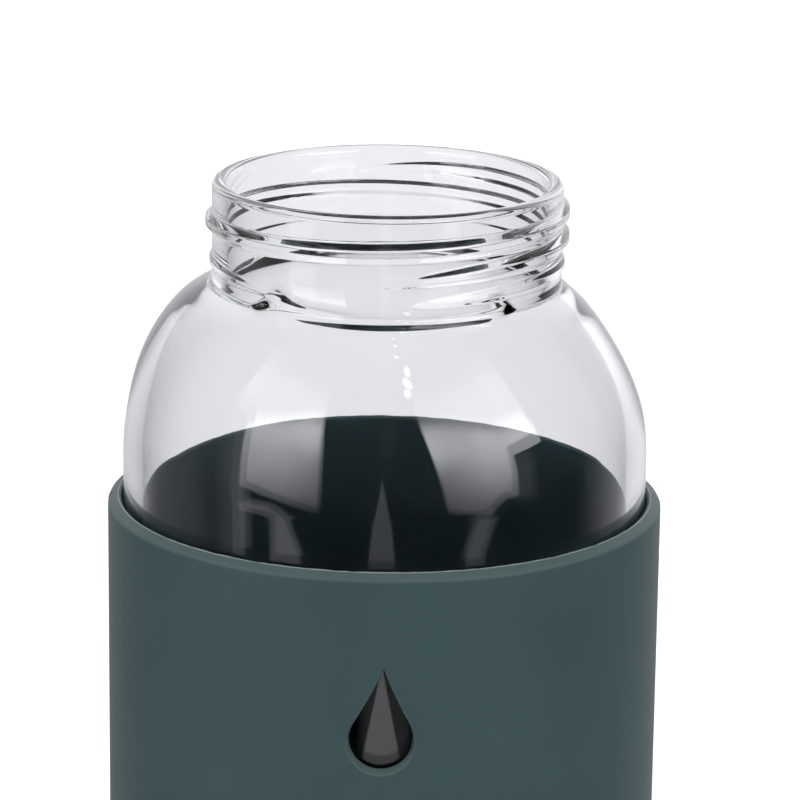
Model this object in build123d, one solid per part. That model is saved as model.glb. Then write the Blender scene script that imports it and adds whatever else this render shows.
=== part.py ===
from build123d import *
import math
import os

# Wide-mouth glass bottle standing in a slip-on silicone sleeve. Millimetres, +Z up.
# The origin is on the table, under the centre of the sleeve's base. The window is in the front, at -Y.

# Silicone sleeve
SLEEVE_RADIUS = 44.0
SLEEVE_HEIGHT = 174.0
SLEEVE_WALL = 2.15
SLEEVE_FLOOR = 3.0
RIM_OUTER_ROUND = 1.3
RIM_INNER_ROUND = 0.4
FOOT_ROUND = 3.0
FOOT_RECESS_RADIUS = 33.0
FOOT_RECESS = 0.8
POCKET_CORNER = 6.0

# Drop-shaped window through the front of the sleeve
WINDOW_APEX_BELOW_RIM = 14.4
WINDOW_HEIGHT = 16.9
WINDOW_RADIUS = 5.05
WINDOW_FLANK_START = 30.0

# Glass bottle
SLIDING_GAP = 0.3
BODY_WALL = 3.0
NECK_WALL = 2.3
GLASS_FLOOR = 4.0
BODY_RADIUS = SLEEVE_RADIUS - SLEEVE_WALL - SLIDING_GAP
SHOULDER_START_ABOVE_RIM = 7.1
SHOULDER_TURN = 38.0
OUTER_SHOULDER_ARC = 36.8
OUTER_CROWN_ARC = 17.2
OUTER_FILLET = 1.0
INNER_SHOULDER_ARC = 36.7
INNER_CROWN_ARC = 16.0
INNER_FILLET = 2.0
MOUTH_ABOVE_RIM = 51.1
NECK_RADIUS = 27.5
HEEL_ARC = 9.0
PUNT_RADIUS = 28.0
PUNT_RISE = 2.2

# Screw thread and transfer bead on the outside of the neck. Depths run from the mouth down to the
# middle of the ridge. Angles are in degrees about Z, from the front towards the right-hand side.
THREAD_WIDTH = 3.2
THREAD_PROUD = 1.05
THREAD_PITCH = 3.9
THREAD_START = 192.0
THREAD_TURN = 555.0
THREAD_START_DEPTH = 3.4
BEAD_WIDTH = 2.2
BEAD_PROUD = 0.4
BEAD_START = -35.0
BEAD_TURN = 319.0
BEAD_DEPTH = 12.5
RIDGE_ROOT = 0.3
RIDGE_FADE = 50.0
RIDGE_STEP = 15.0

# Heights and radii that follow from those above
MOUTH_TOP = SLEEVE_HEIGHT + MOUTH_ABOVE_RIM
SHOULDER_START = SLEEVE_HEIGHT + SHOULDER_START_ABOVE_RIM
POCKET_RADIUS = SLEEVE_RADIUS - SLEEVE_WALL


def turned(outline):
    """Solid of revolution about Z of a closed outline drawn in the XZ plane."""
    return revolve(Plane.XZ * make_face(outline), Axis.Z)


def glass_side(wall, bottom, shoulder, crown, fillet, neck):
    """One side of the glass, from its dished bottom on the axis up to the lip, with the body drawn
    inwards by wall. The shoulder is two tangent arcs, and a small fillet turns the upper one, the
    crown, into the neck."""
    body = BODY_RADIUS - wall
    heel = HEEL_ARC - wall
    punt_arc = (PUNT_RADIUS**2 + PUNT_RISE**2) / (2 * PUNT_RISE)
    turn = math.radians(SHOULDER_TURN)
    shoulder_centre = (body - shoulder, SHOULDER_START)
    crown_centre = (
        shoulder_centre[0] + (shoulder - crown) * math.cos(turn),
        shoulder_centre[1] + (shoulder - crown) * math.sin(turn),
    )
    reach = neck + fillet - crown_centre[0]
    climb = math.sqrt((crown + fillet) ** 2 - reach**2)
    crown_end = math.degrees(math.atan2(climb, reach))
    fillet_centre = (neck + fillet, crown_centre[1] + climb)
    return [
        RadiusArc((0, bottom + PUNT_RISE), (PUNT_RADIUS, bottom), punt_arc),
        Line((PUNT_RADIUS, bottom), (body - heel, bottom)),
        CenterArc((body - heel, bottom + heel), heel, -90, 90),
        Line((body, bottom + heel), (body, SHOULDER_START)),
        CenterArc(shoulder_centre, shoulder, 0, SHOULDER_TURN),
        CenterArc(crown_centre, crown, SHOULDER_TURN, crown_end - SHOULDER_TURN),
        CenterArc(fillet_centre, fillet, 180 + crown_end, -crown_end),
        Line((neck, fillet_centre[1]), (neck, MOUTH_TOP - NECK_WALL / 2)),
    ]


def ridge_section(width, proud):
    """Slice of a circle: a rounded outside and a flat root, with the ridge's width along Y."""
    radius = ((width / 2) ** 2 + proud**2) / (2 * proud)
    crest = Pos(proud - radius, 0) * Circle(radius)
    kept = Pos((proud - RIDGE_ROOT) / 2, 0) * Rectangle(proud + RIDGE_ROOT, 2 * radius)
    return crest & kept


def ridge(width, proud, start, turn, depth, pitch):
    """Ridge that winds round the neck and sinks into the wall at both ends."""
    count = round(turn / RIDGE_STEP)
    points = []
    for step in range(count + 1):
        swept = turn * step / count
        risen = min(90.0, 90 * swept / RIDGE_FADE, 90 * (turn - swept) / RIDGE_FADE)
        radius = NECK_RADIUS - (proud + RIDGE_ROOT / 3) * (1 - math.sin(math.radians(risen)))
        angle = math.radians(start - 90 - swept)
        height = MOUTH_TOP - depth - pitch * swept / 360
        points.append((radius * math.cos(angle), radius * math.sin(angle), height))
    path = Spline(*points)
    outward = Vector(points[0][0], points[0][1], 0)
    section_plane = Plane(origin=points[0], x_dir=outward, z_dir=path.tangent_at(0))
    return sweep(section_plane * ridge_section(width, proud), path, is_frenet=True)


def glass_bottle():
    """Blown bottle: dished base, straight body, round shoulder, wide threaded neck and a round lip."""
    floor_top = SLEEVE_FLOOR + GLASS_FLOOR
    bore = NECK_RADIUS - NECK_WALL
    outside = glass_side(0, SLEEVE_FLOOR, OUTER_SHOULDER_ARC, OUTER_CROWN_ARC, OUTER_FILLET, NECK_RADIUS)
    inside = glass_side(BODY_WALL, floor_top, INNER_SHOULDER_ARC, INNER_CROWN_ARC, INNER_FILLET, bore)
    lip = CenterArc((bore + NECK_WALL / 2, MOUTH_TOP - NECK_WALL / 2), NECK_WALL / 2, 0, 180)
    axis_line = Line((0, SLEEVE_FLOOR + PUNT_RISE), (0, floor_top + PUNT_RISE))
    bottle = turned(outside + [lip] + inside + [axis_line])
    thread = ridge(THREAD_WIDTH, THREAD_PROUD, THREAD_START, THREAD_TURN, THREAD_START_DEPTH, THREAD_PITCH)
    bead = ridge(BEAD_WIDTH, BEAD_PROUD, BEAD_START, BEAD_TURN, BEAD_DEPTH, 0)
    return bottle + thread + bead


def window_cutter():
    """Bar with a drop-shaped section that passes through the front wall of the sleeve."""
    centre = SLEEVE_HEIGHT - WINDOW_APEX_BELOW_RIM - WINDOW_HEIGHT + WINDOW_RADIUS
    apex = (0, SLEEVE_HEIGHT - WINDOW_APEX_BELOW_RIM)
    flank = WINDOW_FLANK_START
    bowl = CenterArc((0, centre), WINDOW_RADIUS, 180 - flank, 180 + 2 * flank)
    right_flank = TangentArc(bowl @ 1, apex, tangent=bowl % 1)
    left_flank = TangentArc(bowl @ 0, apex, tangent=(bowl % 0) * -1)
    drop = make_face([bowl, right_flank, left_flank])
    return extrude(Plane.XZ * drop, SLEEVE_RADIUS + WINDOW_RADIUS)


def silicone_sleeve():
    """Moulded cup with a rounded rim, a rounded foot, a recessed base and the window."""
    pocket_arc_centre = (POCKET_RADIUS - POCKET_CORNER, SLEEVE_FLOOR + POCKET_CORNER)
    outer_rim_centre = (SLEEVE_RADIUS - RIM_OUTER_ROUND, SLEEVE_HEIGHT - RIM_OUTER_ROUND)
    inner_rim_centre = (POCKET_RADIUS + RIM_INNER_ROUND, SLEEVE_HEIGHT - RIM_INNER_ROUND)
    foot_centre = (SLEEVE_RADIUS - FOOT_ROUND, FOOT_ROUND)
    outline = [
        Polyline(
            (0, SLEEVE_FLOOR),
            (0, FOOT_RECESS),
            (FOOT_RECESS_RADIUS - FOOT_RECESS, FOOT_RECESS),
            (FOOT_RECESS_RADIUS, 0),
            (SLEEVE_RADIUS - FOOT_ROUND, 0),
        ),
        CenterArc(foot_centre, FOOT_ROUND, -90, 90),
        Line((SLEEVE_RADIUS, FOOT_ROUND), (SLEEVE_RADIUS, SLEEVE_HEIGHT - RIM_OUTER_ROUND)),
        CenterArc(outer_rim_centre, RIM_OUTER_ROUND, 0, 90),
        Line((outer_rim_centre[0], SLEEVE_HEIGHT), (inner_rim_centre[0], SLEEVE_HEIGHT)),
        CenterArc(inner_rim_centre, RIM_INNER_ROUND, 90, 90),
        Line((POCKET_RADIUS, SLEEVE_HEIGHT - RIM_INNER_ROUND), (POCKET_RADIUS, pocket_arc_centre[1])),
        CenterArc(pocket_arc_centre, POCKET_CORNER, 0, -90),
        Line((pocket_arc_centre[0], SLEEVE_FLOOR), (0, SLEEVE_FLOOR)),
    ]
    return turned(outline) - window_cutter()


def main():
    os.makedirs("parts", exist_ok=True)
    export_step(glass_bottle(), "parts/glass_bottle.step")
    export_step(silicone_sleeve(), "parts/silicone_sleeve.step")


main()
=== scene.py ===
import math

import bpy
from mathutils import Matrix, Vector, noise


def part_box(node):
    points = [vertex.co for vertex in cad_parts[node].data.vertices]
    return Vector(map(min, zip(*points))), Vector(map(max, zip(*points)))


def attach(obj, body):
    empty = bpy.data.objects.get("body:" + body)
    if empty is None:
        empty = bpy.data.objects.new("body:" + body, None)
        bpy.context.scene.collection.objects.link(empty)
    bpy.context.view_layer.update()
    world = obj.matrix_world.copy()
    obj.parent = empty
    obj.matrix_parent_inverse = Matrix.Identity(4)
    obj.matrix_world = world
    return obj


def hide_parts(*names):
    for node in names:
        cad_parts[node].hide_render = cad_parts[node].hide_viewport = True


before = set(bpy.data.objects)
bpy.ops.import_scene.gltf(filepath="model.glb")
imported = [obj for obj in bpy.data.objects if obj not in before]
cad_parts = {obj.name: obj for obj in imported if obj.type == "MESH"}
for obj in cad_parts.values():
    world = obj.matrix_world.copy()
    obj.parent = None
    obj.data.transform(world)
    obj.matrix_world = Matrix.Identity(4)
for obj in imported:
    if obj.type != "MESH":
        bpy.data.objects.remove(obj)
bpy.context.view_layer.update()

# Glass water bottle in a silicone sleeve. Metres, +Z up, -Y is the front, where the window is.
# Angles round the bottle are measured from the front, towards the right-hand side (+X).
MM = 0.001

# ---------------------------------------------------------------- sizes from the frame
sleeve_low, sleeve_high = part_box("silicone_sleeve")
glass_low, glass_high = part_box("glass_bottle")
SLEEVE_RADIUS = -sleeve_low.x
RIM_TOP = sleeve_high.z
MOUTH_TOP = glass_high.z
GLASS_BOTTOM = glass_low.z

# ---------------------------------------------------------------- glass
SLEEVE_WALL = 2.15 * MM
SLIDING_GAP = 0.3 * MM
BODY_RADIUS = SLEEVE_RADIUS - SLEEVE_WALL - SLIDING_GAP
BODY_WALL = 3.0 * MM
NECK_RADIUS = 27.5 * MM
NECK_WALL = 2.3 * MM
GLASS_FLOOR = 4.0 * MM
HEEL_ARC = 9.0 * MM
PUNT_RADIUS = 28.0 * MM
PUNT_RISE = 2.2 * MM
SHOULDER_START = RIM_TOP + 7.1 * MM
SHOULDER_TURN = 38.0
OUTER_SHOULDER_ARC = 36.8 * MM
OUTER_CROWN_ARC = 17.2 * MM
OUTER_FILLET = 1.0 * MM
INNER_SHOULDER_ARC = 36.7 * MM
# The root of the neck is thicker in front and at the back left. Each row has an angle in degrees, the
# inner crown arc and the inner fillet, and the shape goes smoothly from one row to the next.
ROOT_SHAPES = (
    (-180, 17.0 * MM, 1.0 * MM),
    (-156, 17.0 * MM, 1.0 * MM),
    (-146, 14.8 * MM, 9.0 * MM),
    (-130, 14.8 * MM, 9.0 * MM),
    (-116, 16.0 * MM, 1.0 * MM),
    (-52, 16.0 * MM, 1.0 * MM),
    (-37, 13.4 * MM, 11.0 * MM),
    (-20, 14.5 * MM, 9.5 * MM),
    (20, 14.5 * MM, 9.5 * MM),
    (37, 13.4 * MM, 11.0 * MM),
    (52, 16.0 * MM, 1.0 * MM),
    (130, 17.0 * MM, 1.0 * MM),
    (180, 17.0 * MM, 1.0 * MM),
)
# The shoulder leans to the left between these heights.
SHOULDER_LEAN = 1.0 * MM
LEAN_START = 186 * MM
LEAN_FULL = 203 * MM
LEAN_FADES = 206 * MM
LEAN_END = 210 * MM
# Slow waves of blown glass
OUTER_WAVES = 0.01 * MM
INNER_WAVES = 0.03 * MM
WAVE_LENGTH = 14 * MM
GLASS_COLUMNS = 288
OUTER_NECK_STEPS = 110
INNER_NECK_STEPS = 24
LIP_STEPS = 16

# Screw thread and transfer bead. Depths run from the mouth down, and angles are in degrees.
THREAD_HALF_WIDTH = 1.6 * MM
THREAD_PROUD = 1.05 * MM
THREAD_SWELL = 0.11
THREAD_DIP = 0.17 * MM
THREAD_PITCH = 3.9 * MM
THREAD_START = 192.0
THREAD_TURN = 555.0
THREAD_START_DEPTH = 3.2 * MM
BEAD_HALF_WIDTH = 1.3 * MM
BEAD_PROUD = 0.4 * MM
BEAD_START = -35.0
BEAD_TURN = 319.0
BEAD_DEPTH = 12.5 * MM
# A ridge fades over this angle at both ends. The rest are shares of its half width.
RIDGE_FADE = 50.0
RIDGE_TIP = 0.35
RIDGE_TOP = 0.27
RIDGE_CORNER = 0.2

# ---------------------------------------------------------------- sleeve
SLEEVE_FLOOR = 3.0 * MM
RIM_CORNER = 0.9 * MM
RIM_BLEND = RIM_CORNER * 3
RIM_SLOPE = 26.0
RIM_INNER_ROUND = 0.4 * MM
FLASH_WIDTH = 0.22 * MM
FLASH_HEIGHT = 0.14 * MM
FLASH_LENGTH = 1.6 * MM
# The flash's height round the rim, as a share: its mean, slow sway, fine rags and least value.
FLASH_MEAN = 0.7
FLASH_SWAY = 0.9
FLASH_RAGS = 0.5
FLASH_RAG_FINENESS = 4
FLASH_LEAST = 0.05
FLASH_BASE = 0.01 * MM
# The parting line's half width in degrees, and where the mesh has columns across it.
PARTING_WIDTH = 0.35
PARTING_SHARES = (-1, -0.6, -0.25, 0.25, 0.6, 1)
PARTING_PROUD = 0.07 * MM
FOOT_ROUND = 3.0 * MM
RECESS_RADIUS = 33.0 * MM
RECESS = 0.8 * MM
POCKET_CORNER = 6.0 * MM
SLEEVE_STEP = 1.25

# Drop-shaped window
WINDOW_APEX = RIM_TOP - 14.65 * MM
WINDOW_LEAN = 0.4 * MM
WINDOW_DRAFT = 0.36 * MM
WINDOW_HEIGHT = 16.88 * MM
WINDOW_RADIUS = 5.2 * MM
WINDOW_FLANK = math.radians(30)
WINDOW_EDGE = 0.33 * MM
WINDOW_BACK_EDGE = 0.2 * MM
WINDOW_MITRE = 1.6
WINDOW_MARGIN = 3 * MM
WINDOW_EDGE_STEPS = 5
WINDOW_WALL_STEPS = 4
WINDOW_BACK_STEPS = 3
# The sleeve's mesh has a patch of this many columns to each side and rows for the window. Rings of
# vertices spread from the drop to the patch's edge by these shares.
PATCH_COLUMNS = 8
PATCH_ROWS = 20
WINDOW_SPREADS = (0.72, 0.5, 0.32, 0.18, 0.08)

# ---------------------------------------------------------------- colours and textures
GLASS_COLOUR = (0.985, 0.985, 0.99, 1)
GLASS_IOR = 1.48
GLASS_BODY_COLOUR = (0.62, 0.72, 0.62, 1)
GLASS_BODY_DENSITY = 20
SILICONE_DARK = (0.0235, 0.0475, 0.0505, 1)
SILICONE_LIGHT = (0.0265, 0.052, 0.055, 1)
SILICONE_ROUGHNESS = 0.5
SILICONE_SPECULAR = 0.2
MOTTLE_SCALE = 60
MOTTLE_DETAIL = 4
MOTTLE_DARK_UP_TO = 0.3
MOTTLE_LIGHT_FROM = 0.7
GRAIN_SCALE = 2500
GRAIN_DETAIL = 3
GRAIN_STRENGTH = 0.15
GRAIN_HEIGHT = 0.03 * MM
# Painted light where edges face up to the overhead light: the colour painted on the flash, and how far the
# rim and the window's cut face are painted towards it. A cut face starts this far under the sleeve's skin
# and has all its painted light at this depth.
PAINTED_EDGE_LIGHT_COLOUR = (0.155, 0.185, 0.18, 1)
RIM_PAINTED_LIGHT = 0.13
WINDOW_PAINTED_LIGHT = 0.24
CUT_FACE_START = 0.02 * MM
CUT_FACE_FULL = 0.12 * MM
FLASH_PAINTED_LIGHT_HEIGHT = 0.04 * MM
FLOOR_HALF = 4.0
FLOOR_COLOUR = (0.58, 0.58, 0.58, 1)
FLOOR_ROUGHNESS = 0.8

# ---------------------------------------------------------------- studio
# A run is (from, to, value up to from, value past to), with a straight line between. Directions are an
# azimuth from the front towards the right and an elevation above the horizon, in degrees.
BACKDROP = 1.1
SKY_LIGHT = (5, 60, 0.8, 2.9)
LIGHT_INSIDE = (5, 16, 8.5, 0.25)
SEEN_THROUGH = (34, 50, 0.99, 0.5)
FAR_WALL_MIRROR = (2.5, 3.5, 1.0, 0.15)
WHITE = (1, 1, 1, 1)
STUDIO_TINT = (0.96, 0.95, 1.0, 1)
INSIDE_TINT = (0.66, 0.82, 0.95, 1)

# Both softboxes as glass mirrors them: brightness by elevation, by height over the fall line and by
# azimuth, then the lamp that glows through.
BOX_GLOW = (-10, 19, 1.0, 5.2)
BOX_PAST_FALL = (0.0, 5.0, 1.0, 0.18)
BOX_ASIDE = (29, 48, 0.62, 1.15)
BOX_TOP = 46
BOX_TOP_FADE = (40, 45, 1.0, 0.3)
BOX_SIDE_EDGE = 1.2
BOX_END_EDGE = 1.0
LAMP_GLOW = (1, 14, 2.6, 0.0)
LAMP_STRETCH = 0.9

# Left softbox. The outer edge goes by elevation, the bottom and the fall line by azimuth.
LEFT_LAMP = (-32, 21)
LEFT_INNER = -27.5
LEFT_OUTER = (18, 24, -65, -75)
LEFT_BOTTOM = (-66, -31, -5.5, -12.5)
LEFT_FALL = (-62, -34, 14.5, 24.5)

# Right softbox. Both side edges go by elevation, the bottom and the fall line by azimuth.
RIGHT_LAMP = (24, 20)
RIGHT_INNER = (-14, 34, 28, 17.5)
RIGHT_OUTER = (13, 15, 60, 76)
RIGHT_BOTTOM = (24, 46, -12.4, -14.3)
RIGHT_BOTTOM_RISE = (47, 54, 0, 6)
RIGHT_FALL = (33, 57, 28, 21)

# Strip of bright floor between the softboxes: its half width by elevation, in three terms.
STRIP_AZIMUTH = -0.7
STRIP_TIP = (3, 5.5, 0.4, 0.0)
STRIP_TAPER = (-16.5, 5.0, 1.0, 0.0)
STRIP_POWER = 1.15
STRIP_HALF = 3.6
STRIP_FOOT = (-17.3, -16.4, 2.3, 0.0)
STRIP_EDGE = (0.0, 0.8, 0.0, 1.0)
STRIP_LEVEL = (-18.6, -18.4, 0.0, 0.5)

# The floor nearest to the bottle: a bright wedge and a faint wide patch.
NEAR_HALF = (-20.2, -19.0, 8.2, 0.3)
NEAR_PATCH = (-11, 15, 5)
NEAR_PATCH_LEVEL = 0.22
NEAR_LEVEL = (-18.6, -18.4, 0.95, 0.0)

# Curved strips under the softboxes: their side edges and level by elevation.
LOW_LEFT_OUTER = (-16.5, -15.5, -50.9, -66)
LOW_LEFT_INNER = (-17.3, -16.4, -34.3, -42.8)
LOW_LEFT_INNER_RISE = (-16.4, -12.3, 0, -7.1)
LOW_LEFT_LEVEL = (-13.0, -11.8, 0.95, 0.0)
LOW_RIGHT_INNER = (-17.1, -16.4, 35.3, 40.3)
LOW_RIGHT_INNER_RISE = (-16.4, -15, 0, 3)
LOW_RIGHT_OUTER = (-17.1, -16.2, 45.5, 51.8)
LOW_RIGHT_LEVEL = (-15.6, -14.8, 0.62, 0.0)
LOW_EDGE = 1.5

# Dim walls at the sides. Bands are (from, to, softness) in azimuth.
FAR_LEFT_WALL = (-91, -86, 0.1, 0.0)
LEFT_WALL = (-66, -64, 0.13, 0.0)
CURTAIN = (-78, -66, 2.5)
CURTAIN_LEVEL = 0.17
BESIDE_LEFT_BOX = (-69.5, -61.5, 1.5)
BESIDE_LEFT_LEVEL = (10, 16, 0.6, 0.0)
RIGHT_WALL = (96, 118, 0.0, 0.4)
BESIDE_RIGHT_BOX = (59, 70, 1.5)
BESIDE_RIGHT_LEVEL = (-11, -9, 0.0, 0.28)
WALL_RISE = (-14, 2, 0.0, 0.03)
BEHIND = (122, 150, 0.0, 1.0)
BEHIND_LEVEL = (-14, 4, 0.45, 0.95)
SIDE_FADE = (35, 70, 1.0, 0.15)
CEILING = (50, 75, 0.0, 0.25)
FLOOR_BELOW = (-40, -26, 0.8, 0.0)

# Small lamps, as (azimuth, elevation), and their brightness by distance in degrees.
SPOTS = ((19, 51), (16.5, 47), (18.5, 71), (164.5, 70))
SPOT_GLOW = (1.2, 2.6, 9.0, 0.0)

# ---------------------------------------------------------------- camera and render
CAMERA_SENSOR = 36.0
CAMERA_LENS = 184.0
CAMERA_CLIP_START = 0.05
CAMERA_PITCH = math.radians(15.27)
CAMERA_ROLL = math.radians(0.71)
CAMERA_DISTANCE = 648 * MM
CAMERA_AIM = Vector((2.3 * MM, 0, RIM_TOP + 15.3 * MM))
LIGHT_BOUNCES = 24
GLOSSY_BOUNCES = 16


def arc(centre, radius, start, end, steps):
    """Points (distance from the axis, height) on an arc, its two ends included. Angles in degrees."""
    points = []
    for i in range(steps + 1):
        angle = math.radians(start + (end - start) * i / steps)
        points.append((centre[0] + radius * math.cos(angle), centre[1] + radius * math.sin(angle)))
    return points


def line(start, end, steps):
    """Evenly spaced points from start to end, both ends included."""
    return [
        (start[0] + (end[0] - start[0]) * i / steps, start[1] + (end[1] - start[1]) * i / steps)
        for i in range(steps + 1)
    ]


def joined(*runs):
    """One list of points from runs that each start where the last one ended."""
    points = list(runs[0])
    for run in runs[1:]:
        points += run[1:]
    return points


def turn_point(radius, angle, height):
    """Point at a distance from the axis and an angle in degrees from the front."""
    a = math.radians(angle)
    return Vector((radius * math.sin(a), -radius * math.cos(a), height))


def new_object(name, vertices, faces):
    mesh = bpy.data.meshes.new(name)
    mesh.from_pydata(vertices, [], faces)
    mesh.validate()
    for polygon in mesh.polygons:
        polygon.use_smooth = True
    made = bpy.data.objects.new(name, mesh)
    bpy.context.scene.collection.objects.link(made)
    return made


# ---------------------------------------------------------------- the glass bottle


def soft_step(t):
    """0 to 1 as t goes from 0 to 1, straight but for a rounded corner at each end."""
    if t >= 1:
        return 1.0
    if t > 0.5:
        return 1 - soft_step(1 - t)
    slope = 1 / (1 - RIDGE_CORNER)
    if t < RIDGE_CORNER:
        return slope * t * t / (2 * RIDGE_CORNER)
    return slope * (t - RIDGE_CORNER / 2)


def ridge_height(angle, height, start, turn, depth, pitch, half_width, proud):
    """How far a ridge stands out of the neck at an angle and a height. Its ends narrow from above."""
    best = 0.0
    facing = math.cos(math.radians(angle))
    depth = depth + THREAD_DIP * (1 + facing)
    half_width = half_width * (1 + THREAD_SWELL * facing)
    proud = proud * (1 + THREAD_SWELL * facing)
    swept = (start - angle) % 360
    while swept <= turn:
        fade = math.sin(math.pi / 2 * min(1.0, swept / RIDGE_FADE, (turn - swept) / RIDGE_FADE))
        half = half_width * (RIDGE_TIP + (1 - RIDGE_TIP) * fade)
        middle = MOUTH_TOP - depth - pitch * swept / 360 - half_width + half
        offset = abs(middle - height) / half
        if offset < 1:
            best = max(best, proud * fade * soft_step((1 - offset) / (1 - RIDGE_TOP)))
        swept += 360
    return best


def neck_relief(angle, height):
    """How far the thread and the bead together stand out of the neck."""
    thread_run = (THREAD_START, THREAD_TURN, THREAD_START_DEPTH, THREAD_PITCH)
    bead_run = (BEAD_START, BEAD_TURN, BEAD_DEPTH, 0.0)
    thread = ridge_height(angle, height, *thread_run, THREAD_HALF_WIDTH, THREAD_PROUD)
    bead = ridge_height(angle, height, *bead_run, BEAD_HALF_WIDTH, BEAD_PROUD)
    return thread + bead


def glass_side(wall, floor, shoulder, crown, fillet, neck, neck_steps):
    """Profile of one side of the glass, from the middle of its bottom up to the top of the neck."""
    body = BODY_RADIUS - wall
    bottom = GLASS_BOTTOM + floor
    heel = HEEL_ARC - wall
    punt = PUNT_RADIUS**2 / (2 * PUNT_RISE) + PUNT_RISE / 2
    punt_turn = math.degrees(math.asin(PUNT_RADIUS / punt))
    turn = math.radians(SHOULDER_TURN)
    centre = (body - shoulder, SHOULDER_START)
    crown_centre = (
        centre[0] + (shoulder - crown) * math.cos(turn),
        centre[1] + (shoulder - crown) * math.sin(turn),
    )
    reach = neck + fillet - crown_centre[0]
    climb = math.sqrt((crown + fillet) ** 2 - reach**2)
    crown_turn = math.degrees(math.atan2(climb, reach))
    fillet_centre = (neck + fillet, crown_centre[1] + climb)
    return joined(
        arc((0.0, bottom + PUNT_RISE - punt), punt, 90, 90 - punt_turn, 12),
        line((PUNT_RADIUS, bottom), (body - heel, bottom), 3),
        arc((body - heel, bottom + heel), heel, -90, 0, 12),
        line((body, bottom + heel), (body, SHOULDER_START), 12),
        arc(centre, shoulder, 0, SHOULDER_TURN, 32),
        arc(crown_centre, crown, SHOULDER_TURN, crown_turn, 14),
        arc(fillet_centre, fillet, crown_turn + 180, 180, 12),
        line((neck, fillet_centre[1]), (neck, MOUTH_TOP - NECK_WALL / 2), neck_steps),
    )


def smooth(value, start, end):
    """0 under start, 1 over end, and a gentle S between them."""
    t = min(1.0, max(0.0, (value - start) / (end - start)))
    return t * t * (3 - 2 * t)


def uneven(point, waves):
    """Moves a point as blown glass is uneven: the shoulder leans a little, and the surface waves."""
    lean = smooth(point.z, LEAN_START, LEAN_FULL) * (1 - smooth(point.z, LEAN_FADES, LEAN_END))
    outward = Vector((point.x, point.y, 0)).normalized()
    fading = smooth(point.z, SHOULDER_START - WAVE_LENGTH, SHOULDER_START)
    swell = noise.noise(point / WAVE_LENGTH) * waves * fading
    return point + outward * swell - Vector((SHOULDER_LEAN * lean, 0, 0))


def root_shape(angle):
    """Inner crown arc and inner fillet at an angle, blended from one listed angle to the next."""
    for (start, *first), (end, *second) in zip(ROOT_SHAPES, ROOT_SHAPES[1:]):
        if angle <= end:
            share = smooth(angle, start, end)
            return [a + (b - a) * share for a, b in zip(first, second)]


def make_glass():
    """One closed mesh: up the outside, over the lip and down the inside, column by column."""
    outer_root = (OUTER_CROWN_ARC, OUTER_FILLET)
    outer = glass_side(0.0, 0.0, OUTER_SHOULDER_ARC, *outer_root, NECK_RADIUS, OUTER_NECK_STEPS)
    bore = NECK_RADIUS - NECK_WALL
    lip = arc((NECK_RADIUS - NECK_WALL / 2, MOUTH_TOP - NECK_WALL / 2), NECK_WALL / 2, 0, 180, LIP_STEPS)
    angles = [360 * column / GLASS_COLUMNS - 180 for column in range(GLASS_COLUMNS)]
    profiles = []
    for angle in angles:
        inner_root = root_shape(angle)
        inner = glass_side(
            BODY_WALL, GLASS_FLOOR, INNER_SHOULDER_ARC, *inner_root, bore, INNER_NECK_STEPS
        )
        profiles.append(joined(outer, lip, inner[::-1]))
    profile = profiles[0]
    vertices = []
    for index in range(1, len(profile) - 1):
        outside = index < len(outer)
        for angle, points in zip(angles, profiles):
            radius, height = points[index]
            relief = neck_relief(angle, height) if outside and height > SHOULDER_START else 0.0
            point = turn_point(radius + relief, angle, height)
            vertices.append(uneven(point, OUTER_WAVES if outside else INNER_WAVES))
    faces = []
    rows = len(profile) - 2
    for row in range(rows - 1):
        for column in range(GLASS_COLUMNS):
            first = row * GLASS_COLUMNS + column
            second = row * GLASS_COLUMNS + (column + 1) % GLASS_COLUMNS
            faces.append((first, second, second + GLASS_COLUMNS, first + GLASS_COLUMNS))
    for pole, row, flip in ((profile[0], 0, False), (profile[-1], rows - 1, True)):
        vertices.append(Vector((0, 0, pole[1])))
        tip = len(vertices) - 1
        for column in range(GLASS_COLUMNS):
            first = row * GLASS_COLUMNS + column
            second = row * GLASS_COLUMNS + (column + 1) % GLASS_COLUMNS
            faces.append((first, second, tip) if flip else (second, first, tip))
    bottle = new_object("bottle_glass", vertices, faces)
    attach(bottle, "bottle")
    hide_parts("glass_bottle")
    return bottle


# ---------------------------------------------------------------- the silicone sleeve


def drop_point(theta, grow):
    """Point on the window's outline in the direction theta from its bowl's centre, grown by grow."""
    foot = Vector((math.cos(WINDOW_FLANK), math.sin(WINDOW_FLANK))) * WINDOW_RADIUS
    apex = Vector((0.0, WINDOW_HEIGHT - WINDOW_RADIUS))
    ray = Vector((abs(math.cos(theta)), math.sin(theta)))
    side = 1 if math.cos(theta) >= 0 else -1
    if math.atan2(ray.y, ray.x) <= WINDOW_FLANK:
        point = ray * WINDOW_RADIUS
        outward = ray
    else:
        across = foot.normalized()
        chord = apex - foot
        bow = chord.length_squared / (2 * chord.dot(across))
        centre = foot + across * bow
        along = ray.dot(centre)
        point = ray * (along - math.sqrt(along**2 - centre.length_squared + bow**2))
        outward = (centre - point).normalized()
        if ray.x < 1e-6:
            outward = Vector((0.0, WINDOW_MITRE))
    moved = point + outward * grow
    lean = WINDOW_LEAN * max(0.0, moved.y) / apex.y
    return moved.x * side + lean, moved.y


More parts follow.
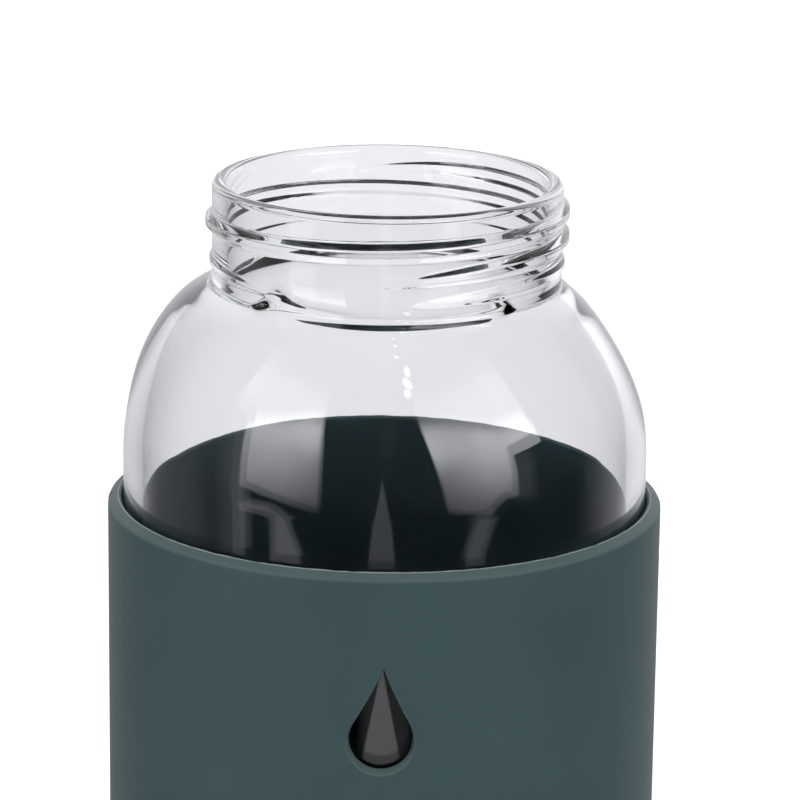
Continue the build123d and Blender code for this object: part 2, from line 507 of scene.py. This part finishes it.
def sleeve_point(radius, angle, height):
    """Point of the sleeve, with the mould's parting line at both sides and ragged flash on the rim."""
    beside = min(abs(angle - 90), abs(angle - 270)) / PARTING_WIDTH
    outside = smooth(radius, SLEEVE_RADIUS - SLEEVE_WALL / 2, SLEEVE_RADIUS - SLEEVE_WALL / 3)
    proud = PARTING_PROUD * max(0.0, 1 - beside) * outside * smooth(height, 0, FOOT_ROUND)
    if height > RIM_TOP + FLASH_BASE:
        along = turn_point(SLEEVE_RADIUS, angle, 0) / FLASH_LENGTH
        rags = FLASH_RAGS * noise.noise(along * FLASH_RAG_FINENESS)
        ragged = FLASH_MEAN + FLASH_SWAY * noise.noise(along) + rags
        height = RIM_TOP + (height - RIM_TOP) * min(1.0, max(FLASH_LEAST, ragged))
    on_rim = smooth(height, RIM_TOP - RIM_BLEND, RIM_TOP - RIM_CORNER)
    return turn_point(radius + proud * (1 - on_rim / 2), angle, height + proud * on_rim)


def sleeve_profile():
    """Closed profile of the sleeve in five runs, from under its floor, over the rim and down the pocket.
    The two patches are the heights, outside and inside, where the window goes."""
    patch_low = WINDOW_APEX - WINDOW_HEIGHT - WINDOW_MARGIN
    patch_high = WINDOW_APEX + WINDOW_MARGIN
    pocket = SLEEVE_RADIUS - SLEEVE_WALL
    recess_edge = RECESS_RADIUS - RECESS
    foot = SLEEVE_RADIUS - FOOT_ROUND
    outer_bottom = joined(
        line((0, RECESS), (recess_edge, RECESS), 10),
        line((recess_edge, RECESS), (RECESS_RADIUS, 0), 3),
        line((RECESS_RADIUS, 0), (foot, 0), 4),
        arc((foot, FOOT_ROUND), FOOT_ROUND, -90, 0, 12),
        line((SLEEVE_RADIUS, FOOT_ROUND), (SLEEVE_RADIUS, patch_low), 40),
    )
    outer_patch = line((SLEEVE_RADIUS, patch_low), (SLEEVE_RADIUS, patch_high), PATCH_ROWS)
    flash_in = pocket + RIM_INNER_ROUND
    flash_out = flash_in + FLASH_WIDTH
    flash_tip = flash_out - FLASH_WIDTH / 4
    flash_top = RIM_TOP + FLASH_HEIGHT
    slope = math.radians(RIM_SLOPE)
    slope_outer = SLEEVE_RADIUS - RIM_CORNER * (1 - math.sin(slope))
    slope_drop = (slope_outer - flash_out) * math.tan(slope) + RIM_CORNER * math.cos(slope)
    corner_centre = (SLEEVE_RADIUS - RIM_CORNER, RIM_TOP - slope_drop)
    corner = arc(corner_centre, RIM_CORNER, 0, 90 - RIM_SLOPE, 8)
    rim = joined(
        line((SLEEVE_RADIUS, patch_high), corner[0], 8),
        corner,
        line(corner[-1], (flash_out, RIM_TOP), 3),
        line((flash_out, RIM_TOP), (flash_tip, flash_top), 2),
        line((flash_tip, flash_top), (flash_in, flash_top), 1),
        line((flash_in, flash_top), (flash_in, RIM_TOP), 2),
        arc((flash_in, RIM_TOP - RIM_INNER_ROUND), RIM_INNER_ROUND, 90, 180, 5),
        line((pocket, RIM_TOP - RIM_INNER_ROUND), (pocket, patch_high), 10),
    )
    inner_patch = line((pocket, patch_high), (pocket, patch_low), PATCH_ROWS)
    corner_height = SLEEVE_FLOOR + POCKET_CORNER
    inner_bottom = joined(
        line((pocket, patch_low), (pocket, corner_height), 40),
        arc((pocket - POCKET_CORNER, corner_height), POCKET_CORNER, 0, -90, 8),
        line((pocket - POCKET_CORNER, SLEEVE_FLOOR), (0, SLEEVE_FLOOR), 10),
    )
    return outer_bottom, outer_patch, rim, inner_patch, inner_bottom


def make_sleeve():
    """One closed mesh: the turned profile, with the window's hole let into its two patches."""
    parting = [PARTING_WIDTH * share for share in PARTING_SHARES]
    angles = [SLEEVE_STEP * i for i in range(round(360 / SLEEVE_STEP))]
    angles += [side + offset for side in (90, 270) for offset in parting]
    angles.sort()
    outer_bottom, outer_patch, rim, inner_patch, inner_bottom = sleeve_profile()
    profile = joined(outer_bottom, outer_patch, rim, inner_patch, inner_bottom)
    outer_start = len(outer_bottom) - 1
    inner_start = outer_start + PATCH_ROWS + len(rim) - 1
    patch_low = outer_patch[0][1]
    patch_high = outer_patch[-1][1]
    pocket = inner_patch[0][0]
    bowl_centre = WINDOW_APEX - WINDOW_HEIGHT + WINDOW_RADIUS
    count = len(angles)
    vertices = []
    for radius, height in profile[1:-1]:
        vertices += [sleeve_point(radius, angle, height) for angle in angles]

    def ring_vertex(profile_index, column):
        return (profile_index - 1) * count + column % count

    def in_patch(profile_index, column):
        near = column < PATCH_COLUMNS or column >= count - PATCH_COLUMNS
        outer = outer_start <= profile_index < outer_start + PATCH_ROWS
        inner = inner_start <= profile_index < inner_start + PATCH_ROWS
        return near and (outer or inner)

    faces = []
    for index in range(1, len(profile) - 2):
        for column in range(count):
            if not in_patch(index, column):
                low_pair = (ring_vertex(index, column), ring_vertex(index, column + 1))
                high_pair = (ring_vertex(index + 1, column + 1), ring_vertex(index + 1, column))
                faces.append(low_pair + high_pair)
    for index, flip in ((1, False), (len(profile) - 2, True)):
        pole = profile[0] if index == 1 else profile[-1]
        vertices.append(Vector((0, 0, pole[1])))
        tip = len(vertices) - 1
        for column in range(count):
            first = ring_vertex(index, column)
            second = ring_vertex(index, column + 1)
            faces.append((first, second, tip) if flip else (second, first, tip))

    # The window: rings of vertices run from a patch's edge to the drop, through the wall and out again.
    columns = PATCH_COLUMNS
    border = [(columns, row) for row in range(PATCH_ROWS)]
    border += [(column, PATCH_ROWS) for column in range(columns, -columns, -1)]
    border += [(-columns, row) for row in range(PATCH_ROWS, 0, -1)]
    border += [(column, 0) for column in range(-columns, columns)]

    def border_ring(start, downwards):
        rows = [(PATCH_ROWS - row if downwards else row) for _, row in border]
        return [ring_vertex(start + row, column) for (column, _), row in zip(border, rows)]

    def wall_ring(radius, grow, spread):
        """Ring at a distance from the axis: the drop grown by grow, and moved by spread to the border."""
        ring = []
        for column, row in border:
            angle = math.radians(column * SLEEVE_STEP)
            height = patch_low + (patch_high - patch_low) * row / PATCH_ROWS
            theta = math.atan2(height - bowl_centre, SLEEVE_RADIUS * math.sin(angle))
            x, z = drop_point(theta, grow)
            near = math.asin(x / radius)
            ring_angle = near + (angle - near) * spread
            ring_height = bowl_centre + z + (height - bowl_centre - z) * spread
            vertices.append(turn_point(radius, math.degrees(ring_angle), ring_height))
            ring.append(len(vertices) - 1)
        return ring

    rings = [border_ring(outer_start, False)]
    rings += [wall_ring(SLEEVE_RADIUS, WINDOW_EDGE, spread) for spread in WINDOW_SPREADS]
    for i in range(WINDOW_EDGE_STEPS + 1):
        turn = math.radians(90 * i / WINDOW_EDGE_STEPS)
        depth = WINDOW_EDGE * (1 - math.cos(turn))
        rings.append(wall_ring(SLEEVE_RADIUS - depth, WINDOW_EDGE * (1 - math.sin(turn)), 0.0))
    for i in range(1, WINDOW_WALL_STEPS + 1):
        straight = SLEEVE_WALL - WINDOW_EDGE - WINDOW_BACK_EDGE
        depth = WINDOW_EDGE + straight * i / WINDOW_WALL_STEPS
        rings.append(wall_ring(SLEEVE_RADIUS - depth, -WINDOW_DRAFT * i / WINDOW_WALL_STEPS, 0.0))
    for i in range(1, WINDOW_BACK_STEPS + 1):
        turn = math.radians(90 * i / WINDOW_BACK_STEPS)
        depth = SLEEVE_WALL - WINDOW_BACK_EDGE * (1 - math.sin(turn))
        grow = WINDOW_BACK_EDGE * (1 - math.cos(turn)) - WINDOW_DRAFT
        rings.append(wall_ring(SLEEVE_RADIUS - depth, grow, 0.0))
    back_grow = WINDOW_BACK_EDGE - WINDOW_DRAFT
    rings += [wall_ring(pocket, back_grow, spread) for spread in WINDOW_SPREADS[::-1]]
    rings.append(border_ring(inner_start, True))
    for first, second in zip(rings, rings[1:]):
        for i in range(len(border)):
            j = (i + 1) % len(border)
            faces.append((first[i], first[j], second[j], second[i]))
    sleeve = new_object("sleeve_silicone", vertices, faces)
    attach(sleeve, "sleeve")
    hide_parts("silicone_sleeve")
    return sleeve


# ---------------------------------------------------------------- materials


def new_material(name):
    material = bpy.data.materials.new(name)
    material.use_nodes = True
    tree = material.node_tree
    return material, tree.nodes, tree.links, tree.nodes["Principled BSDF"]


class NodeMath:
    """Writes shader arithmetic as calls that take sockets or numbers and give a socket."""

    def __init__(self, tree):
        self.tree = tree

    def feed(self, socket, value):
        if isinstance(value, bpy.types.NodeSocket):
            self.tree.links.new(value, socket)
        else:
            socket.default_value = value

    def do(self, operation, first, second=0.0):
        node = self.tree.nodes.new("ShaderNodeMath")
        node.operation = operation
        self.feed(node.inputs[0], first)
        self.feed(node.inputs[1], second)
        return node.outputs[0]

    def ramp(self, value, start, end, low=0.0, high=1.0):
        """low where value is under start, high where it is over end, and a straight run between."""
        node = self.tree.nodes.new("ShaderNodeMapRange")
        self.feed(node.inputs["Value"], value)
        self.feed(node.inputs["From Min"], start)
        self.feed(node.inputs["From Max"], end)
        self.feed(node.inputs["To Min"], low)
        self.feed(node.inputs["To Max"], high)
        return node.outputs["Result"]

    def between(self, value, start, end, soft):
        """1 between start and end, which may be sockets, falling to 0 over soft on both sides."""
        rise = self.ramp(self.do("SUBTRACT", value, start), 0.0, soft)
        fall = self.ramp(self.do("SUBTRACT", end, value), 0.0, soft)
        return self.do("MULTIPLY", rise, fall)

    def product(self, *values):
        result = values[0]
        for value in values[1:]:
            result = self.do("MULTIPLY", result, value)
        return result

    def total(self, *values):
        result = values[0]
        for value in values[1:]:
            result = self.do("ADD", result, value)
        return result

    def distance(self, across, upwards):
        squares = self.total(self.product(across, across), self.product(upwards, upwards))
        return self.do("SQRT", squares)

    def blend(self, share, first, second):
        """Colour that goes from first to second as share goes from 0 to 1."""
        mix = self.tree.nodes.new("ShaderNodeMix")
        mix.data_type = "RGBA"
        self.feed(mix.inputs["Factor"], share)
        colour_sockets = [socket for socket in mix.inputs if socket.type == "RGBA"]
        self.feed(colour_sockets[0], first)
        self.feed(colour_sockets[1], second)
        return [socket for socket in mix.outputs if socket.type == "RGBA"][0]


def glass_material():
    """Clear glass with a faint green body colour."""
    material, nodes, links, shader = new_material("clear_glass")
    shader.inputs["Base Color"].default_value = GLASS_COLOUR
    shader.inputs["Roughness"].default_value = 0.0
    shader.inputs["IOR"].default_value = GLASS_IOR
    shader.inputs["Transmission Weight"].default_value = 1.0
    absorption = nodes.new("ShaderNodeVolumeAbsorption")
    absorption.inputs["Color"].default_value = GLASS_BODY_COLOUR
    absorption.inputs["Density"].default_value = GLASS_BODY_DENSITY
    links.new(absorption.outputs["Volume"], nodes["Material Output"].inputs["Volume"])
    return material


def silicone_material():
    """Matte silicone: a faint mottle, a fine moulded grain, and painted light that pales the flash, the
    rim and the window's cut face.
    """
    material, nodes, links, shader = new_material("teal_silicone")
    coordinates = nodes.new("ShaderNodeTexCoord")
    grain = nodes.new("ShaderNodeTexNoise")
    grain.inputs["Scale"].default_value = GRAIN_SCALE
    grain.inputs["Detail"].default_value = GRAIN_DETAIL
    links.new(coordinates.outputs["Object"], grain.inputs["Vector"])
    bump = nodes.new("ShaderNodeBump")
    bump.inputs["Strength"].default_value = GRAIN_STRENGTH
    bump.inputs["Distance"].default_value = GRAIN_HEIGHT
    links.new(grain.outputs["Fac"], bump.inputs["Height"])
    links.new(bump.outputs["Normal"], shader.inputs["Normal"])
    mottle = nodes.new("ShaderNodeTexNoise")
    mottle.inputs["Scale"].default_value = MOTTLE_SCALE
    mottle.inputs["Detail"].default_value = MOTTLE_DETAIL
    links.new(coordinates.outputs["Object"], mottle.inputs["Vector"])
    colours = nodes.new("ShaderNodeValToRGB")
    dark_end, light_end = colours.color_ramp.elements
    dark_end.position = MOTTLE_DARK_UP_TO
    dark_end.color = SILICONE_DARK
    light_end.position = MOTTLE_LIGHT_FROM
    light_end.color = SILICONE_LIGHT
    links.new(mottle.outputs["Fac"], colours.inputs["Fac"])
    parts = nodes.new("ShaderNodeSeparateXYZ")
    links.new(coordinates.outputs["Object"], parts.inputs[0])
    x, y, z = parts.outputs
    m = NodeMath(material.node_tree)
    radius = m.distance(x, y)
    # Painted light: every face set in from the outer skin (the window's cut face, the rim and the pocket
    # inside) is paled towards the painted edge colour, most from the window's apex down and least on the
    # rim.
    cut_face = m.ramp(
        radius, SLEEVE_RADIUS - CUT_FACE_FULL, SLEEVE_RADIUS - CUT_FACE_START, 1.0, 0.0
    )
    painted_edge_light = m.product(
        cut_face, m.ramp(z, WINDOW_APEX, RIM_TOP - RIM_BLEND, WINDOW_PAINTED_LIGHT, RIM_PAINTED_LIGHT)
    )
    # Painted highlight: the flash on top of the rim is paled by height, as if lit from above.
    flash = m.ramp(z, RIM_TOP, RIM_TOP + FLASH_PAINTED_LIGHT_HEIGHT)
    painted_light_share = m.do("MAXIMUM", painted_edge_light, flash)
    links.new(m.blend(painted_light_share, colours.outputs["Color"], PAINTED_EDGE_LIGHT_COLOUR), shader.inputs["Base Color"])
    shader.inputs["Roughness"].default_value = SILICONE_ROUGHNESS
    shader.inputs["Specular IOR Level"].default_value = SILICONE_SPECULAR
    return material


# ---------------------------------------------------------------- stage, lights and camera


def make_floor():
    half = FLOOR_HALF
    corners = [(-half, -half, 0), (half, -half, 0), (half, half, 0), (-half, half, 0)]
    floor = new_object("floor", corners, [(0, 1, 2, 3)])
    material, _, _, shader = new_material("pale_floor")
    shader.inputs["Base Color"].default_value = FLOOR_COLOUR
    shader.inputs["Roughness"].default_value = FLOOR_ROUGHNESS
    floor.data.materials.append(material)
    floor.visible_glossy = False
    floor.visible_transmission = False


def softbox(m, azimuth, elevation, inner, outer, bottom, fall, lamp):
    """A softbox lit by a lamp behind one spot of it, and dim where it is above the elevation fall."""
    lamp_azimuth, lamp_elevation = lamp
    low, high = (outer, inner) if lamp_azimuth < 0 else (inner, outer)
    across = m.do("MULTIPLY", m.do("SUBTRACT", azimuth, lamp_azimuth), LAMP_STRETCH)
    upwards = m.do("SUBTRACT", elevation, lamp_elevation)
    glow = m.product(
        m.ramp(elevation, *BOX_GLOW),
        m.ramp(m.do("SUBTRACT", elevation, fall), *BOX_PAST_FALL),
        m.ramp(m.do("ABSOLUTE", azimuth), *BOX_ASIDE),
    )
    return m.product(
        m.between(azimuth, low, high, BOX_SIDE_EDGE),
        m.between(elevation, bottom, BOX_TOP, BOX_END_EDGE),
        m.ramp(elevation, *BOX_TOP_FADE),
        m.total(glow, m.ramp(m.distance(across, upwards), *LAMP_GLOW)),
    )


def both_softboxes(m, azimuth, elevation):
    left_outer = m.ramp(elevation, *LEFT_OUTER)
    left_bottom = m.ramp(azimuth, *LEFT_BOTTOM)
    left_fall = m.ramp(azimuth, *LEFT_FALL)
    right_inner = m.ramp(elevation, *RIGHT_INNER)
    right_outer = m.ramp(elevation, *RIGHT_OUTER)
    right_bottom = m.total(m.ramp(azimuth, *RIGHT_BOTTOM), m.ramp(azimuth, *RIGHT_BOTTOM_RISE))
    right_fall = m.ramp(azimuth, *RIGHT_FALL)
    return m.total(
        softbox(m, azimuth, elevation, LEFT_INNER, left_outer, left_bottom, left_fall, LEFT_LAMP),
        softbox(m, azimuth, elevation, right_inner, right_outer, right_bottom, right_fall, RIGHT_LAMP),
    )


def low_strips(m, azimuth, elevation):
    """What shows under the softboxes: the strip of floor, the floor nearby and a curved strip per side."""
    half = m.total(
        m.ramp(elevation, *STRIP_TIP),
        m.product(m.do("POWER", m.ramp(elevation, *STRIP_TAPER), STRIP_POWER), STRIP_HALF),
        m.ramp(elevation, *STRIP_FOOT),
    )
    beside = m.do("ABSOLUTE", m.do("SUBTRACT", azimuth, STRIP_AZIMUTH))
    strip = m.product(
        m.ramp(m.do("SUBTRACT", half, beside), *STRIP_EDGE),
        m.ramp(elevation, *STRIP_LEVEL),
    )
    near_half = m.ramp(elevation, *NEAR_HALF)
    near = m.product(
        m.total(
            m.ramp(m.do("SUBTRACT", near_half, m.do("ABSOLUTE", azimuth)), *STRIP_EDGE),
            m.product(m.between(azimuth, *NEAR_PATCH), NEAR_PATCH_LEVEL),
        ),
        m.ramp(elevation, *NEAR_LEVEL),
    )
    left_outer = m.ramp(elevation, *LOW_LEFT_OUTER)
    left_inner = m.total(m.ramp(elevation, *LOW_LEFT_INNER), m.ramp(elevation, *LOW_LEFT_INNER_RISE))
    left = m.product(
        m.between(azimuth, left_outer, left_inner, LOW_EDGE), m.ramp(elevation, *LOW_LEFT_LEVEL)
    )
    right_inner = m.total(m.ramp(elevation, *LOW_RIGHT_INNER), m.ramp(elevation, *LOW_RIGHT_INNER_RISE))
    right_outer = m.ramp(elevation, *LOW_RIGHT_OUTER)
    right = m.product(
        m.between(azimuth, right_inner, right_outer, LOW_EDGE), m.ramp(elevation, *LOW_RIGHT_LEVEL)
    )
    return m.total(strip, near, left, right)


def studio_walls(m, azimuth, elevation):
    """Dim walls with a few soft bands, and the white backdrop behind the bottle."""
    walls = m.total(
        m.ramp(azimuth, *FAR_LEFT_WALL),
        m.ramp(azimuth, *LEFT_WALL),
        m.product(m.between(azimuth, *CURTAIN), CURTAIN_LEVEL),
        m.product(m.between(azimuth, *BESIDE_LEFT_BOX), m.ramp(elevation, *BESIDE_LEFT_LEVEL)),
        m.ramp(azimuth, *RIGHT_WALL),
        m.product(m.between(azimuth, *BESIDE_RIGHT_BOX), m.ramp(elevation, *BESIDE_RIGHT_LEVEL)),
        m.ramp(elevation, *WALL_RISE),
    )
    away = m.do("ABSOLUTE", azimuth)
    behind = m.product(m.ramp(away, *BEHIND), m.ramp(elevation, *BEHIND_LEVEL))
    return m.product(m.total(walls, behind), m.ramp(elevation, *SIDE_FADE))


def studio_reflections(m, azimuth, elevation):
    """Brightness of the room as polished glass mirrors it."""
    spots = []
    for spot_azimuth, spot_elevation in SPOTS:
        across = m.do("SUBTRACT", azimuth, spot_azimuth)
        upwards = m.do("SUBTRACT", elevation, spot_elevation)
        spots.append(m.ramp(m.distance(across, upwards), *SPOT_GLOW))
    return m.total(
        both_softboxes(m, azimuth, elevation),
        low_strips(m, azimuth, elevation),
        studio_walls(m, azimuth, elevation),
        m.ramp(elevation, *CEILING),
        m.ramp(elevation, *FLOOR_BELOW),
        *spots,
    )


def make_world():
    """White studio, where what glass mirrors and what lights the object are apart from the backdrop."""
    world = bpy.data.worlds.new("studio")
    bpy.context.scene.world = world
    world.use_nodes = True
    tree = world.node_tree
    m = NodeMath(tree)
    direction = tree.nodes.new("ShaderNodeSeparateXYZ")
    m.feed(direction.inputs[0], tree.nodes.new("ShaderNodeTexCoord").outputs["Generated"])
    x, y, z = direction.outputs
    degrees = 180 / math.pi
    azimuth = m.do("MULTIPLY", m.do("ARCTAN2", x, m.do("MULTIPLY", y, -1.0)), degrees)
    elevation = m.do("MULTIPLY", m.do("ARCSINE", z), degrees)
    path = tree.nodes.new("ShaderNodeLightPath").outputs
    camera = path["Is Camera Ray"]
    scattered = m.do("MINIMUM", path["Diffuse Depth"], 1.0)
    direct = m.do("SUBTRACT", 1.0, scattered)
    mirror = m.product(m.do("MINIMUM", path["Glossy Depth"], 1.0), direct)
    refracted = m.product(
        m.do("MINIMUM", path["Transmission Depth"], 1.0), direct, m.do("SUBTRACT", 1.0, mirror)
    )
    inside = m.product(scattered, path["Is Transmission Ray"])
    plain = m.do("SUBTRACT", 1.0, m.total(camera, mirror, refracted, inside))
    strength = m.total(
        m.product(camera, BACKDROP),
        m.product(
            mirror,
            studio_reflections(m, azimuth, elevation),
            m.ramp(path["Transmission Depth"], *FAR_WALL_MIRROR),
        ),
        m.product(refracted, m.ramp(elevation, *SEEN_THROUGH)),
        m.product(inside, m.ramp(elevation, *LIGHT_INSIDE)),
        m.product(plain, m.ramp(elevation, *SKY_LIGHT)),
    )
    seen = m.blend(m.total(mirror, refracted), WHITE, STUDIO_TINT)
    background = tree.nodes["Background"]
    m.feed(background.inputs["Color"], m.blend(inside, seen, INSIDE_TINT))
    m.feed(background.inputs["Strength"], strength)
    world.cycles.sampling_method = "NONE"


def make_camera():
    """Camera aimed just over the rim, pitched down and rolled a little."""
    data = bpy.data.cameras.new("camera")
    data.sensor_width = CAMERA_SENSOR
    data.lens = CAMERA_LENS
    data.clip_start = CAMERA_CLIP_START
    camera = bpy.data.objects.new("camera", data)
    bpy.context.scene.collection.objects.link(camera)
    forward = Vector((0, math.cos(CAMERA_PITCH), -math.sin(CAMERA_PITCH)))
    side = Vector((1, 0, 0))
    up = side.cross(forward)
    right = side * math.cos(CAMERA_ROLL) + up * math.sin(CAMERA_ROLL)
    top = up * math.cos(CAMERA_ROLL) - side * math.sin(CAMERA_ROLL)
    facing = Matrix((right, top, -forward)).transposed().to_4x4()
    camera.matrix_world = Matrix.Translation(CAMERA_AIM - forward * CAMERA_DISTANCE) @ facing
    bpy.context.scene.camera = camera


bottle = make_glass()
bottle.data.materials.append(glass_material())
sleeve = make_sleeve()
sleeve.data.materials.append(silicone_material())
make_floor()
make_world()
make_camera()
bpy.context.scene.view_settings.view_transform = "Standard"
bpy.context.scene.cycles.max_bounces = LIGHT_BOUNCES
bpy.context.scene.cycles.glossy_bounces = GLOSSY_BOUNCES
bpy.context.scene.cycles.transmission_bounces = LIGHT_BOUNCES
